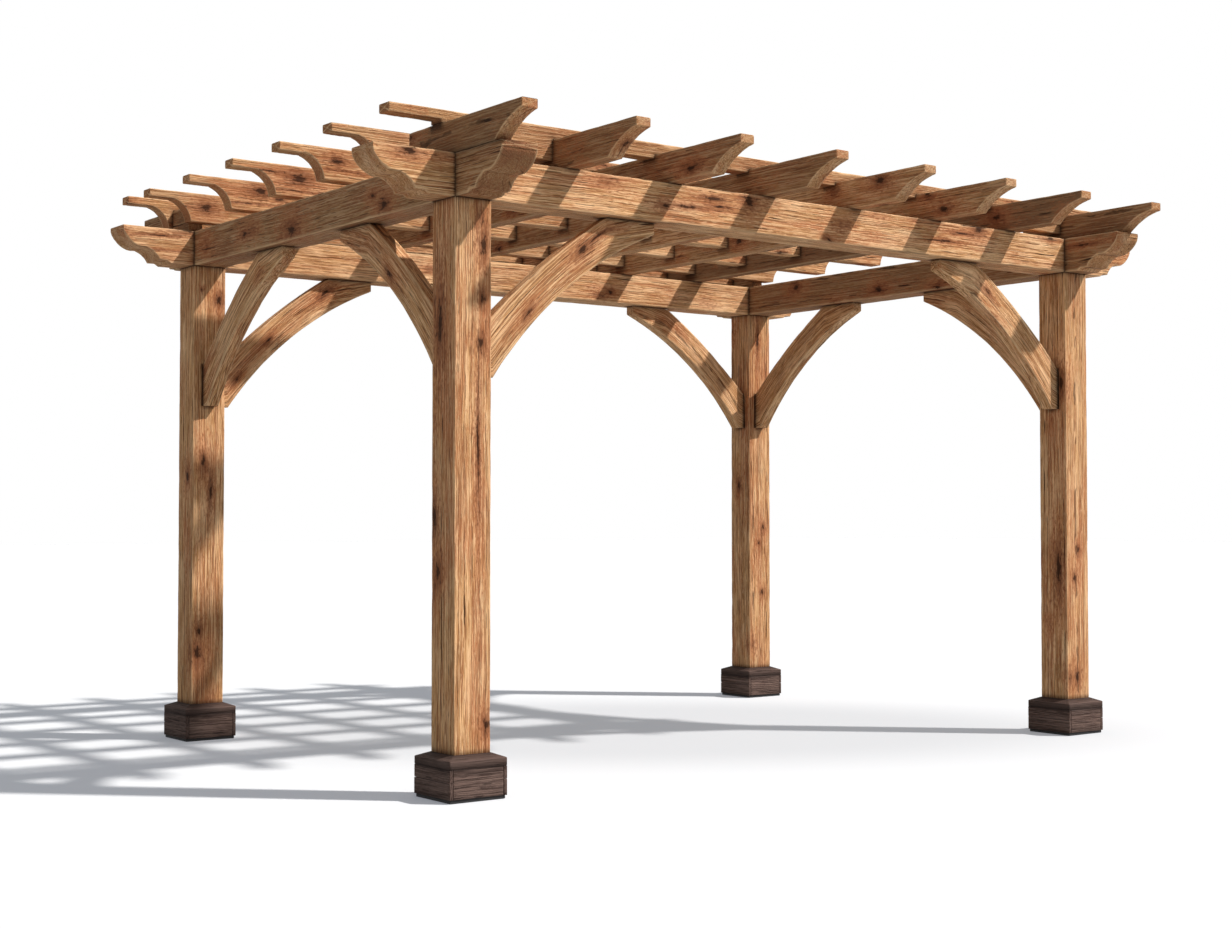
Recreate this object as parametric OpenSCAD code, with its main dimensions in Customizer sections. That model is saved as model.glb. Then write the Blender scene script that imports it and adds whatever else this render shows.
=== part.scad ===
// Wooden garden pergola, an open frame.
// Four square posts stand on boxed bases and carry a ring of four beams with carved tails.
// Curved knee braces stiffen every corner both ways, rafters lie across the long beams,
// and purlins are notched over the rafters.
// Origin on the ground under the middle of the frame. X runs along the long side,
// Y runs from the front to the back, and Z is up. All sizes are in millimetres.

/* [Overall] */
// Distance between post centres along the long side
span_long = 3245; // [2600:5:3900]
// Distance between post centres along the short side
span_short = 2170; // [1900:5:2700]
// Height of the beams' underside above the ground
headroom = 2090; // [1900:5:2400]

/* [Posts] */
// Side of the square posts, which is also the width of the beams
post_w = 150; // [130:1:180]

/* [Bases] */
// How far the boxed base stands out past each face of the post
base_out = 43; // [32:1:60]
// Height of the bevelled cap's upper edge above the ground
base_h = 160; // [130:1:220]
// Height of the upright edge of the cap, below its bevel
cap_edge = 28; // [16:1:40]
// Rise of the cap's bevel from its outer edge to the post
cap_bevel = 17; // [8:1:28]
// Thickness of the boards of the base
skirt_t = 15; // [10:1:20]
// Thickness of the foot pad under the post
pad_h = 12; // [6:1:20]
// How far the foot pad is set in from the base boards' faces
pad_inset = 5; // [2:1:8]

/* [Beams] */
// Depth of the beams
beam_h = 152; // [130:1:180]
// How far a long beam's carved tail reaches past the frame
long_tail = 325; // [290:5:450]
// How far a short beam's carved tail reaches past the frame
short_tail = 290; // [260:5:450]
// Height of the flat tip of a beam's tail
beam_tip = 24; // [10:1:35]
// Length of the rounded nose behind the tip
nose_run = 80; // [60:1:100]
// Height of the small step above the beam's underside
step_h = 60; // [45:1:70]
// Length of the small step between the nose and the hollow
step_run = 32; // [15:1:40]
// Length of the hollow that runs down to the low step
hollow_run = 56; // [40:1:80]
// Height of the low step above the beam's underside
low_step_h = 11; // [6:1:20]
// Length of the low step, and of the slope at its end
low_step_run = 34; // [15:1:50]
// How far the nose bulges past a straight cut
nose_bulge = 13; // [6:1:20]
// How far the hollow is cut in past a straight cut
hollow_dip = 7; // [3:1:12]

/* [Braces] */
// Thickness of the braces
brace_t = 58; // [40:1:80]
// How far a brace reaches down the post from the beam
brace_drop = 620; // [520:5:700]
// How far a brace reaches along the beam from the post
brace_reach = 765; // [620:5:800]
// Length of the brace's seat on the post
brace_post_seat = 185; // [150:1:210]
// Length of the brace's seat under the beam
brace_beam_seat = 225; // [190:1:250]
// Height of the square end under the beam
brace_nib = 45; // [25:1:60]
// Length of the level cut at the brace's foot
brace_toe = 38; // [15:1:50]
// Rise of the arch along the lower edge
brace_arch = 68; // [30:1:75]
// Rise of the bow along the upper edge
brace_bow = 20; // [10:1:30]
// Depth of the housing in the post that takes the brace's end
housing_depth = 12; // [6:1:20]

/* [Rafters] */
// Thickness of the rafters
rafter_t = 65; // [45:1:80]
// Depth of the rafters
rafter_h = 120; // [100:1:140]
// How far a rafter's tail reaches past the frame
rafter_tail = 410; // [320:5:480]
// Height of the tip of a rafter's tail
rafter_tip = 34; // [22:1:50]
// Length of the curved cut under a rafter's tail
rafter_cut = 164; // [120:1:220]
// How far that cut hollows past a straight line
rafter_dip = 15; // [6:1:24]
// Length of a front corner rafter, from its tip to where it ends on the short beam
corner_run = 725; // [640:5:900]

/* [Purlins] */
// Thickness of the purlins
purlin_t = 71; // [50:1:85]
// How far the purlins stand up above the rafters
purlin_over = 47; // [34:1:50]
// Depth of the first purlin between the inner rafters, where its underside is cut away
purlin_bar = 60; // [54:1:75]
// Height of the purlins' underside above the beams
purlin_lift = 40; // [10:1:55]
// How far the first purlin is set back from the front beam's outer face
purlin_inset = 90; // [0:2:150]
// Distance from the purlin over the back beam to the last one
purlin_last = 240; // [120:5:300]
// How far a purlin's tail reaches past the frame
purlin_tail = 212; // [212:2:320]
// Height of the tip of a purlin's tail
purlin_tip = 34; // [22:1:50]
// Length of the straight underside of that tip
purlin_nose = 116; // [80:1:118]
// Length of the cove between the tip and the full depth
purlin_cove = 76; // [60:1:90]
// How far the cove is rounded past a straight line
purlin_dip = 18; // [6:1:20]

/* [Fits] */
// Side clearance of each lap joint
lap_clear = 0.5; // [0.2:0.1:1]
// Gap between the boards of a base, and between its cap and the post
board_gap = 0.6; // [0.4:0.1:0.9]
// Gap beside a brace's end in its housing
housing_gap = 8; // [2:1:12]

/* [Hidden] */
$fn = 240;

// How far a cutting shape runs past the wood, and the small shoulder left where a cut stops
spare = 10;
quirk = 1.5;

// Colours of the weathered honey timber, the dark base boards and the black pad
honey = "#C18C57";
umber = "#5E4A41";
black = "#1C1B1A";

// Signs that pick a corner, a side or a direction
left = -1;
right = 1;
front = -1;
back = 1;

// Post centres, and the outer faces shared by the posts and the beams
post_x = span_long / 2;
post_y = span_short / 2;
out_x = post_x + post_w / 2;
out_y = post_y + post_w / 2;

// Levels from the ground up
cap_z = base_h - cap_bevel - cap_edge;
beam_top = headroom + beam_h;
beam_lap = headroom + beam_h / 2;
purlin_z = beam_top + purlin_lift;

// Bases
base_w = post_w + 2 * base_out;
pad_w = base_w - 2 * pad_inset;

// Rafters are evenly spaced, with the corner rafters flush with the short beams' outer faces
rafter_count = 6;
rafter_end_x = out_x - rafter_t / 2;
rafter_pitch = 2 * rafter_end_x / (rafter_count + 1);
rafter_x = [for (i = [1 : rafter_count]) i * rafter_pitch - rafter_end_x];

// Purlins are evenly spaced between the long beams, and one more lies on the tails at the back
purlin_h = rafter_h - purlin_lift + purlin_over;
purlin_even = 6;
purlin_end_y = out_y - purlin_inset - purlin_t / 2;
purlin_pitch = 2 * purlin_end_y / (purlin_even - 1);
purlin_y = [for (i = [0 : purlin_even - 1]) i * purlin_pitch - purlin_end_y, purlin_end_y + purlin_last];

// Corner rafters run in from their tips to these places: past the first purlin at the front,
// and up to the last but one at the back
corner_front = corner_run - out_y - rafter_tail;
corner_back = purlin_end_y + purlin_t / 2 + lap_clear;

// Radius of the arc from p to q that rises to the left of the straight line between them
function arc_radius(p, q, rise) = (pow(norm(q - p), 2) / 4 + rise * rise) / (2 * rise);

// Centre of that arc
function arc_centre(p, q, rise) =
  (p + q) / 2 + (arc_radius(p, q, rise) - rise) * [q[1] - p[1], p[0] - q[0]] / norm(q - p);

// The whole disc that the arc is part of
module disc(p, q, rise) {
  translate(arc_centre(p, q, rise))
    circle(r = arc_radius(p, q, rise));
}

// Side view of the wood taken off a beam's end: under the round nose, the step, the hollow
// and the low step
module beam_tail_waste() {
  tip = [0, beam_h - beam_tip];
  nose = [nose_run, step_h];
  step = [nose_run + step_run, step_h - quirk];
  heel = [nose_run + step_run + hollow_run, low_step_h];
  low = heel[0] + low_step_run;
  slope = low + 1.5 * low_step_h;
  difference() {
    translate([-spare, -spare]) square([spare + step[0], spare + beam_h - beam_tip / 2]);
    disc(nose, tip, nose_bulge);
  }
  translate([-spare, -spare]) square([spare + step[0], spare + step_h]);
  intersection() {
    disc(step, heel, hollow_dip);
    translate([step[0] - quirk, 0]) square([hollow_run + spare, step_h - quirk / 2]);
  }
  polygon([[-spare, -spare], [-spare, low_step_h], [low, low_step_h], [slope, 0], [slope, -spare]]);
}

// Side view of the wood taken off a rafter's end: one long hollow
module rafter_tail_waste() {
  disc([0, rafter_h - rafter_tip], [rafter_cut, 0], rafter_dip);
}

// Side view of the wood taken off a purlin's end: a straight underside and a cove behind it
module purlin_tail_waste() {
  tip = purlin_h - purlin_tip;
  nose = [purlin_nose, tip - quirk];
  heel = [purlin_nose + purlin_cove, 0];
  translate([-spare, -spare]) square([spare + purlin_nose, spare + tip]);
  intersection() {
    disc(nose, heel, purlin_dip);
    translate([purlin_nose - quirk, -spare]) square([purlin_cove + spare, spare + tip - quirk / 2]);
  }
}

// A straight timber seen from the side, centred on the origin, with both ends shaped alike
module shaped_timber(length, depth) {
  difference() {
    translate([-length / 2, 0]) square([length, depth]);
    translate([-length / 2, 0]) children();
    mirror([1, 0]) translate([-length / 2, 0]) children();
  }
}

// Side view of a brace, with the corner of post and beam at the origin.
// The upper edge bows towards that corner and the lower edge is an arch.
// Its end is let into the post.
module brace_outline() {
  high = [0, brace_post_seat - brace_drop];
  inner = [brace_reach - brace_beam_seat, 0];
  nib = [brace_reach, -brace_nib];
  toe = [brace_toe, -brace_drop];
  difference() {
    intersection() {
      translate([-housing_depth, -brace_drop]) square([housing_depth + brace_reach, brace_drop]);
      disc(high, inner, brace_bow);
    }
    disc(toe, nib, brace_arch);
  }
}

// Stands a side view upright, with its thickness centred on the plane it was drawn in
module stand(thickness) {
  rotate([90, 0, 0])
    linear_extrude(height = thickness, center = true)
      children();
}

// Moves what is drawn for a brace from the origin to the corner of a post and a long beam
module at_long_corner(side, end) {
  translate([side * (post_x - post_w / 2), end * post_y, headroom])
    mirror([side == right ? 1 : 0, 0, 0])
      children();
}

// The same for the corner of a post and a short beam
module at_short_corner(side, end) {
  translate([side * post_x, end * (post_y - post_w / 2), headroom])
    rotate([0, 0, -end * 90])
      children();
}

// The wood taken out of a post where a brace's end is let in
module brace_housing() {
  wide = brace_t + 2 * housing_gap;
  translate([-housing_depth, -wide / 2, -brace_drop])
    cube([housing_depth + spare, wide, brace_post_seat + lap_clear]);
}

// Square post that runs from the foot pad, through the base, to the beams,
// with a housing for each of its two braces
module post(side, end) {
  color(honey)
    difference() {
      translate([side * post_x - post_w / 2, end * post_y - post_w / 2, pad_h])
        cube([post_w, post_w, headroom - pad_h]);
      at_long_corner(side, end) brace_housing();
      at_short_corner(side, end) brace_housing();
    }
}

// Black pad that keeps the end grain off the ground
module pad(side, end) {
  color(black)
    translate([side * post_x - pad_w / 2, end * post_y - pad_w / 2, 0])
      cube([pad_w, pad_w, pad_h]);
}

// Four base boards. The side boards run the full width and cover the ends of the other two.
module skirt(side, end) {
  board_h = cap_z - pad_h;
  short = base_w - 2 * skirt_t - 2 * board_gap;
  color(umber)
    translate([side * post_x, end * post_y, pad_h]) {
      for (s = [-1, 1])
        translate([s * (base_w - skirt_t) / 2 - skirt_t / 2, -base_w / 2, 0])
          cube([skirt_t, base_w, board_h]);
      for (s = [-1, 1])
        translate([-short / 2, s * (base_w - skirt_t) / 2 - skirt_t / 2, 0])
          cube([short, skirt_t, board_h]);
    }
}

// Bevelled collar that closes the top of the base around the post
module cap(side, end) {
  half = base_w / 2;
  neck = post_w / 2;
  hole = post_w + 2 * board_gap;
  edge = cap_edge;
  top = cap_edge + cap_bevel;
  outline = [[-half, 0], [half, 0], [half, edge], [neck, top], [-neck, top], [-half, edge]];
  color(umber)
    translate([side * post_x, end * post_y, cap_z])
      difference() {
        intersection() {
          stand(base_w) polygon(outline);
          rotate([0, 0, 90]) stand(base_w) polygon(outline);
        }
        translate([-hole / 2, -hole / 2, -1]) cube([hole, hole, top + 2]);
      }
}

// Long beam, halved on its upper side where a short beam crosses it
module long_beam(end) {
  slot = post_w + 2 * lap_clear;
  color(honey)
    translate([0, end * post_y, headroom])
      difference() {
        stand(post_w)
          shaped_timber(2 * (out_x + long_tail), beam_h)
            beam_tail_waste();
        for (side = [left, right])
          translate([side * post_x - slot / 2, -post_w, beam_h / 2])
            cube([slot, 2 * post_w, beam_h]);
      }
}

// Short beam, halved on its underside where it crosses a long beam
module short_beam(side) {
  slot = post_w + 2 * lap_clear;
  color(honey)
    translate([side * post_x, 0, headroom])
      difference() {
        rotate([0, 0, 90])
          stand(post_w)
            shaped_timber(2 * (out_y + short_tail), beam_h)
              beam_tail_waste();
        for (end = [front, back])
          translate([-post_w, end * post_y - slot / 2, -beam_h / 2])
            cube([2 * post_w, slot, beam_h]);
      }
}

// Curved brace between a post and a long beam
module brace_along(side, end) {
  color(honey)
    at_long_corner(side, end)
      stand(brace_t) brace_outline();
}

// Curved brace between a post and a short beam
module brace_across(side, end) {
  color(honey)
    at_short_corner(side, end)
      stand(brace_t) brace_outline();
}

// Rafter on the long beams, with both tails hollowed
module rafter(number) {
  color(honey)
    translate([rafter_x[number - 1], 0, beam_top])
      rotate([0, 0, 90])
        stand(rafter_t)
          shaped_timber(2 * (out_y + rafter_tail), rafter_h)
            rafter_tail_waste();
}

// Short rafter that lies along a short beam and carries the row of tails round the corner
module corner_rafter(side, end) {
  color(honey)
    translate([side * rafter_end_x, 0, beam_top])
      intersection() {
        rotate([0, 0, 90])
          stand(rafter_t)
            shaped_timber(2 * (out_y + rafter_tail), rafter_h)
              rafter_tail_waste();
        translate([-rafter_t, end == back ? corner_back : corner_front - 2 * out_y, -spare])
          cube([2 * rafter_t, 2 * out_y, rafter_h + 2 * spare]);
      }
}

// Purlin notched over the rafters. The first one is a slim bar between the inner rafters,
// and its tails are straight, as they pass over the corner rafters.
module purlin(number) {
  slot = rafter_t + 2 * lap_clear;
  y = purlin_y[number - 1];
  crosses_corners = y - purlin_t < corner_front || y > corner_back;
  notches = crosses_corners ? concat([-rafter_end_x], rafter_x, [rafter_end_x]) : rafter_x;
  color(honey)
    translate([0, y, purlin_z])
      difference() {
        stand(purlin_t)
          shaped_timber(2 * (out_x + purlin_tail), purlin_h)
            purlin_tail_waste();
        for (x = notches)
          translate([x - slot / 2, -purlin_t, -spare])
            cube([slot, 2 * purlin_t, spare + purlin_h - purlin_over]);
        if (number == 1)
          translate([rafter_x[0], -purlin_t, -spare])
            cube([rafter_x[rafter_count - 1] - rafter_x[0], 2 * purlin_t, spare + purlin_h - purlin_bar]);
        if (number == 1)
          for (side = [left, right])
            translate([side * (out_x + lap_clear + purlin_tail / 2) - purlin_tail / 2, -purlin_t, -spare])
              cube([purlin_tail, 2 * purlin_t, spare + purlin_h - min(purlin_tip, purlin_over)]);
      }
}

post(left, front);  // post_front_left
post(right, front);  // post_front_right
post(left, back);  // post_back_left
post(right, back);  // post_back_right

pad(left, front);  // pad_front_left
pad(right, front);  // pad_front_right
pad(left, back);  // pad_back_left
pad(right, back);  // pad_back_right

skirt(left, front);  // skirt_front_left
skirt(right, front);  // skirt_front_right
skirt(left, back);  // skirt_back_left
skirt(right, back);  // skirt_back_right

cap(left, front);  // cap_front_left
cap(right, front);  // cap_front_right
cap(left, back);  // cap_back_left
cap(right, back);  // cap_back_right

long_beam(front);  // beam_front
long_beam(back);  // beam_back
short_beam(left);  // beam_left
short_beam(right);  // beam_right

brace_along(left, front);  // brace_front_left_along
brace_along(right, front);  // brace_front_right_along
brace_along(left, back);  // brace_back_left_along
brace_along(right, back);  // brace_back_right_along

brace_across(left, front);  // brace_front_left_across
brace_across(right, front);  // brace_front_right_across
brace_across(left, back);  // brace_back_left_across
brace_across(right, back);  // brace_back_right_across

corner_rafter(left, front);  // corner_rafter_front_left
corner_rafter(right, front);  // corner_rafter_front_right
corner_rafter(left, back);  // corner_rafter_back_left
corner_rafter(right, back);  // corner_rafter_back_right

rafter(1);  // rafter_1
rafter(2);  // rafter_2
rafter(3);  // rafter_3
rafter(4);  // rafter_4
rafter(5);  // rafter_5
rafter(6);  // rafter_6

purlin(1);  // purlin_1
purlin(2);  // purlin_2
purlin(3);  // purlin_3
purlin(4);  // purlin_4
purlin(5);  // purlin_5
purlin(6);  // purlin_6
purlin(7);  // purlin_7
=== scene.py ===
# %% [markdown]
# # A timber pergola, dressed in Blender
# The frame below is the pergola as it was drawn: square posts, beams halved over them,
# arched braces, rafters and purlins. This lesson gives every timber its worn edges,
# its hewn faces and its grain, and keeps each one exactly where the frame puts it.

# %% Load the frame
import math
import bpy
import numpy as np
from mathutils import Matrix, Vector


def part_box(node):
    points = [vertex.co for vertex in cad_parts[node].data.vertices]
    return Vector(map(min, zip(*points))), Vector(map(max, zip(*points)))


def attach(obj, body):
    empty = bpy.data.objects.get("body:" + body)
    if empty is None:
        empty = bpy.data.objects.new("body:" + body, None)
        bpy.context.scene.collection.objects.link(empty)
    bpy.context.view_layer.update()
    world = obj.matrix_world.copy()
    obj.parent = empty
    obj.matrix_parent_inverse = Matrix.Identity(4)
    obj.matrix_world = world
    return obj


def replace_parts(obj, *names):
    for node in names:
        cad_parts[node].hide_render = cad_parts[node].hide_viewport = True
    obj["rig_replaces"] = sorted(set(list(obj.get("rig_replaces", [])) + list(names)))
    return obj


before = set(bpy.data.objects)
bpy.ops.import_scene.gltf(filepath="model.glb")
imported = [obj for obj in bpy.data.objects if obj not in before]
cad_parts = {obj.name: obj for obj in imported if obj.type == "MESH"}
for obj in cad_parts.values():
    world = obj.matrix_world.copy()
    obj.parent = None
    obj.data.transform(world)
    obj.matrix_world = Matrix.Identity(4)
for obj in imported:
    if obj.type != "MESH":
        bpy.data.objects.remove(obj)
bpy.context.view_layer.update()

MM = 0.001

# %% [markdown]
# ## The camera
# The picture is taken from a little below chest height, in front of one corner, so that
# two sides show and the roof is seen from underneath. Place, heading and lens come from
# fitting the corners of the timbers; a long lens keeps the posts upright.

# %% Camera
CAMERA_AT = (-5.033, -6.514, 0.973)
HEADING, UPWARD = 36.99, 1.71          # degrees: from +Y towards +X, and above the horizon
SENSOR, PICTURE = 36.0, 1232           # widths, in millimetres and in pixels
FOCAL = 1822.3 / PICTURE * SENSOR      # fitted in pixels, and brought to the sensor
FAR_CLIP = 200.0

scene = bpy.context.scene
camera = bpy.data.objects.new("camera", bpy.data.cameras.new("camera"))
camera.data.sensor_fit, camera.data.sensor_width, camera.data.lens = "HORIZONTAL", SENSOR, FOCAL
camera.data.clip_end = FAR_CLIP
camera.location = CAMERA_AT
camera.rotation_euler = (math.radians(90 + UPWARD), 0.0, math.radians(-HEADING))
scene.collection.objects.link(camera)
scene.camera = camera
print("camera: lens", round(FOCAL, 2), "mm")

# %% [markdown]
# ## Colours and nodes
# Colours are written as they look on a screen, and one function turns them to the linear
# values that light needs. One more function adds a node to a material: its own settings,
# then what goes into its sockets, where another node's output is linked and a number is set.

# %% Helpers for materials
def linear(code):
    """sRGB hex to linear: each channel is divided by 255 and put through the sRGB curve."""
    c = np.array([int(code[i:i + 2], 16) for i in (1, 3, 5)]) / 255.0
    c = np.where(c <= 0.04045, c / 12.92, ((c + 0.055) / 1.055) ** 2.4)
    return (*c.tolist(), 1.0)


def add(tree, kind, inputs, out=0, **settings):
    """Adds one node with its settings, sets or links its inputs, and gives back one of its outputs."""
    made = tree.nodes.new(kind)
    for name, value in settings.items():
        setattr(made, name, value)
    for socket, value in inputs.items():
        if isinstance(value, bpy.types.NodeSocket):
            tree.links.new(value, made.inputs[socket])
        else:
            made.inputs[socket].default_value = value
    return made.outputs[out] if len(made.outputs) else made


def new_material(name):
    """An empty node material, and its tree."""
    material = bpy.data.materials.new(name)
    material.use_nodes = True
    material.node_tree.nodes.clear()
    return material, material.node_tree


print("mid grey in linear light:", round(linear("#808080")[0], 3))

# %% [markdown]
# ## Light
# One strong, slightly soft key light comes from the front right and above, so the rafter
# tails throw slanting bars on the front beam and the roof throws a lattice on the floor.
# A weak, faintly cool sky, brighter towards the front, fills the shade. Rays that come
# straight from the camera, or by way of a reflection, find plain white instead.

# %% Key light and sky
scene.view_settings.view_transform = "Standard"
LIGHT_FALLS = Vector((-0.68, 0.66, -1.0))
KEY_POWER, KEY_SPREAD, KEY_TINT = 4.9, math.radians(2.2), (1.0, 0.985, 0.96)
SKY_FRONT, SKY_BACK, SKY_TINT = 0.52, 0.27, (0.88, 0.97, 1.02, 1)

key = bpy.data.objects.new("key_light", bpy.data.lights.new("key_light", "SUN"))
key.data.energy, key.data.angle, key.data.color = KEY_POWER, KEY_SPREAD, KEY_TINT
key.rotation_euler = LIGHT_FALLS.to_track_quat("-Z", "Y").to_euler()
scene.collection.objects.link(key)


def seen_directly(tree):
    """1 where a ray comes from the camera, a reflection or through glass, else 0: the largest of three flags."""
    path = add(tree, "ShaderNodeLightPath", {}).node.outputs
    seen = path["Is Camera Ray"]
    for ray in ("Is Glossy Ray", "Is Transmission Ray"):
        seen = add(tree, "ShaderNodeMath", {0: seen, 1: path[ray]}, operation="MAXIMUM")
    return seen


sky = bpy.data.worlds.new("soft_sky")
scene.world = sky
sky.use_nodes = True
tree = sky.node_tree
tree.nodes.clear()
way = add(tree, "ShaderNodeTexCoord", {}, out="Generated")
way = add(tree, "ShaderNodeSeparateXYZ", {"Vector": way}, out="Y")
bright = add(tree, "ShaderNodeMapRange", {"Value": way, "From Min": -1.0, "From Max": 0.6,
                                          "To Min": SKY_FRONT, "To Max": SKY_BACK})
fill = add(tree, "ShaderNodeBackground", {"Color": SKY_TINT, "Strength": bright})
white = add(tree, "ShaderNodeBackground", {"Color": (1, 1, 1, 1), "Strength": 1.0})
mixed = add(tree, "ShaderNodeMixShader", {0: seen_directly(tree), 1: fill, 2: white})
add(tree, "ShaderNodeOutputWorld", {"Surface": mixed})
print("light comes down at", round(math.degrees(math.atan2(1.0, LIGHT_FALLS.xy.length)), 1), "degrees")

# %% [markdown]
# ## Floor
# A plain pale sheet that the pergola stands on. The camera sees it as white paper that
# keeps a cool grey shadow: part of its colour is a glow, painted light that lifts the shadow,
# and part is lit. In a long oval under the roof less of it is lit and more of it glows, so the
# paper is a little greyer there: painted shade. The timbers see a darker sheet, so that the
# floor doesn't light their shaded sides from below.

# %% Floor
OVAL_TURN, OVAL_LONG, OVAL_WIDE = math.radians(37), 2.7, 1.6       # the oval of painted shade under the roof: its turn, and its half sizes in metres
OVAL_SHIFT = -0.15                     # of its middle, in half widths
OVAL_IN, OVAL_OUT = 0.5, 1.05          # its grey fades out between these shares of its half sizes
# lit colours and glows inside the oval and outside it: the glow is painted light that lifts the shadow, and the
# greyer inside is painted shade
LIT = {"inside": "#AFAFB0", "outside": "#CBCBCB"}
FLOOR_GLOW = {"inside": "#808185", "outside": "#6F7077"}
SEEN_BY_TIMBER = "#A6AAAC"
REACH, BELOW = 60.0, 0.5 * MM          # half the sheet's side, and how far it lies under the pads

paper, tree = new_material("matt_white_paper")
spot = add(tree, "ShaderNodeTexCoord", {}, out="Object")
spot = add(tree, "ShaderNodeMapping", {"Vector": spot, "Rotation": (0, 0, OVAL_TURN)})
spot = add(tree, "ShaderNodeVectorMath", {0: spot, 1: (1 / OVAL_LONG, 1 / OVAL_WIDE, 0), 2: (0, OVAL_SHIFT, 0)},
           operation="MULTIPLY_ADD")
outside = add(tree, "ShaderNodeVectorMath", {0: spot}, out="Value", operation="LENGTH")
outside = add(tree, "ShaderNodeMapRange", {"Value": outside, "From Min": OVAL_IN, "From Max": OVAL_OUT},
              interpolation_type="SMOOTHSTEP")
lit, own = (add(tree, "ShaderNodeMix", {0: outside, 6: linear(c["inside"]), 7: linear(c["outside"])},
                out=2, data_type="RGBA") for c in (LIT, FLOOR_GLOW))
lit = add(tree, "ShaderNodeBsdfDiffuse", {"Color": lit})
# the glow: painted light that lifts the floor's shadow
own = add(tree, "ShaderNodeEmission", {"Color": own, "Strength": 1.0})
to_camera = add(tree, "ShaderNodeAddShader", {0: lit, 1: own})
to_timber = add(tree, "ShaderNodeBsdfDiffuse", {"Color": linear(SEEN_BY_TIMBER)})
mixed = add(tree, "ShaderNodeMixShader", {0: seen_directly(tree), 1: to_timber, 2: to_camera})
add(tree, "ShaderNodeOutputMaterial", {"Surface": mixed})

across, along = np.meshgrid(np.linspace(-REACH, REACH, 3), np.linspace(-REACH, REACH, 3))
spots = np.stack([across, along, np.full_like(across, -BELOW)], -1).reshape(-1, 3)
first = (np.arange(2)[:, None] * 3 + np.arange(2)).reshape(-1, 1)
floor_mesh = bpy.data.meshes.new("floor")
floor_mesh.from_pydata(spots.tolist(), [], (first + [0, 1, 4, 3]).tolist())
floor_mesh.materials.append(paper)
floor = bpy.data.objects.new("floor", floor_mesh)
scene.collection.objects.link(floor)
print("floor:", 2 * REACH, "m square")

# %% [markdown]
# ## How a timber is made
# A timber is a rounded rectangle carried along its length. A modeller could bevel a box,
# but then every edge is the same; here the section is worked out anew at each step along
# the piece, so the edges can be worn more in one place than in another, the faces can be
# a little uneven as an axe or a coarse saw leaves them, and the ends can be carved.
# Each step is a rung between a lower and an upper edge line, and the section fills the rung.

# %% Uneven lines
def waves(at, seed, lengths):
    """A sum of sines of the given wavelengths with seeded phases and heights, moved to lie between 0 and 1."""
    rng = np.random.default_rng(seed)
    start = rng.uniform(0, 2 * np.pi, len(lengths))
    height = rng.uniform(0.5, 1.0, len(lengths))
    total = (height * np.sin(2 * np.pi * np.asarray(at)[..., None] / np.array(lengths) + start)).sum(-1)
    return 0.5 + 0.5 * total / height.sum()


print("waves run from", waves(np.linspace(0, 9, 4000), 1, (0.9, 0.37)).min().round(3), "up")

# %% The section of a timber
FLAT = (0.06, 0.3, 0.5, 0.7, 0.94)     # where points lie on each flat, as shares of it
QUARTER = np.radians([0.0, 30.0, 60.0, 90.0])


def section(width, depth, radius, flat):
    """Rounded rectangles, one a rung: width across, depth up, a quarter circle of its own radius at
    each corner, and points at the given shares of each flat. The walk is lower right corner, right flat,
    upper right, top, upper left, left, lower left, bottom. Gives across, up, and how worn each point is."""
    turn = np.radians([-90.0, 0.0, 90.0, 180.0])[:, None] + QUARTER
    middle_a = np.array([1, 1, -1, -1]) * (width / 2 - radius)
    middle_h = np.where([False, True, True, False], depth[:, None] - radius, radius)
    a = middle_a[:, :, None] + radius[:, :, None] * np.cos(turn)
    h = middle_h[:, :, None] + radius[:, :, None] * np.sin(turn)
    share = np.array(flat)
    flat_a = a[:, :, -1:] * (1 - share) + np.roll(a, -1, 1)[:, :, :1] * share
    flat_h = h[:, :, -1:] * (1 - share) + np.roll(h, -1, 1)[:, :, :1] * share
    worn = np.tile(np.r_[0.5, 1.0, 1.0, 0.5, np.zeros(len(share))], 4)
    rows = len(depth)
    return (np.concatenate([a, flat_a], 2).reshape(rows, -1),
            np.concatenate([h, flat_h], 2).reshape(rows, -1), worn)


print("a section has", 4 * (len(QUARTER) + len(FLAT)), "points")

# %% Carrying the section along
END_ROUND = 2.5 * MM
ROUND_TURN = np.radians([30, 60, 90])
ROUND_IN = np.r_[1 - np.cos(ROUND_TURN), 1.0, 1.0] * END_ROUND
ROUND_OUT = np.r_[np.sin(ROUND_TURN), 1.0, 1.0] * END_ROUND
CLOSING = np.r_[1, 1, 1, 0.66, 0.33]   # the end face closes in two more rings and a small middle
LEAST_WORN, MOST_WORN = 0.6, 1.8       # corner radius over arris, and its limit as a share of the smaller side
RADIUS_LIMIT = 0.22
EDGE_WAVES = (0.83, 0.31, 0.117)       # wavelengths in metres: wear of the edges, then hewing of the faces
SIDE_WAVES, TOP_WAVES = (1.37, 0.53, 0.21), (1.19, 0.47, 0.23)
ASKEW = 0.6                            # how far a wave moves along for each metre across a face
LOG_APART = 3.7                        # metres between the starts of two pieces in the wood's own space
HEART_OFF, TONE_OFF = 70 * MM, 0.6     # how far hearts and tones may lie from the middle
FULL_CUT = 0.4                         # a face that points along by this share counts as cut across the grain


def heart_of(seed):
    """Where the heart of the log lies across and up from the middle of a piece; no two are sawn alike."""
    return np.random.default_rng(seed + 77).uniform(-HEART_OFF, HEART_OFF, 2)


def run_of(line):
    """How far along a line each of its points lies: the running sum of the lengths of its steps."""
    return np.r_[0, np.hypot(*np.diff(line, axis=0).T).cumsum()]


def joined(count, size):
    """Quads between count closed rings of size points, where point j of ring k is number k * size + j, and
    the two faces that close the ends."""
    k, j = np.arange(count - 1)[:, None] * size, np.arange(size)
    n = (j + 1) % size
    quads = np.stack([k + j, k + n, k + size + n, k + size + j], -1).reshape(-1, 4)
    return quads, [j[::-1].tolist(), (j + (count - 1) * size).tolist()]


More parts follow.
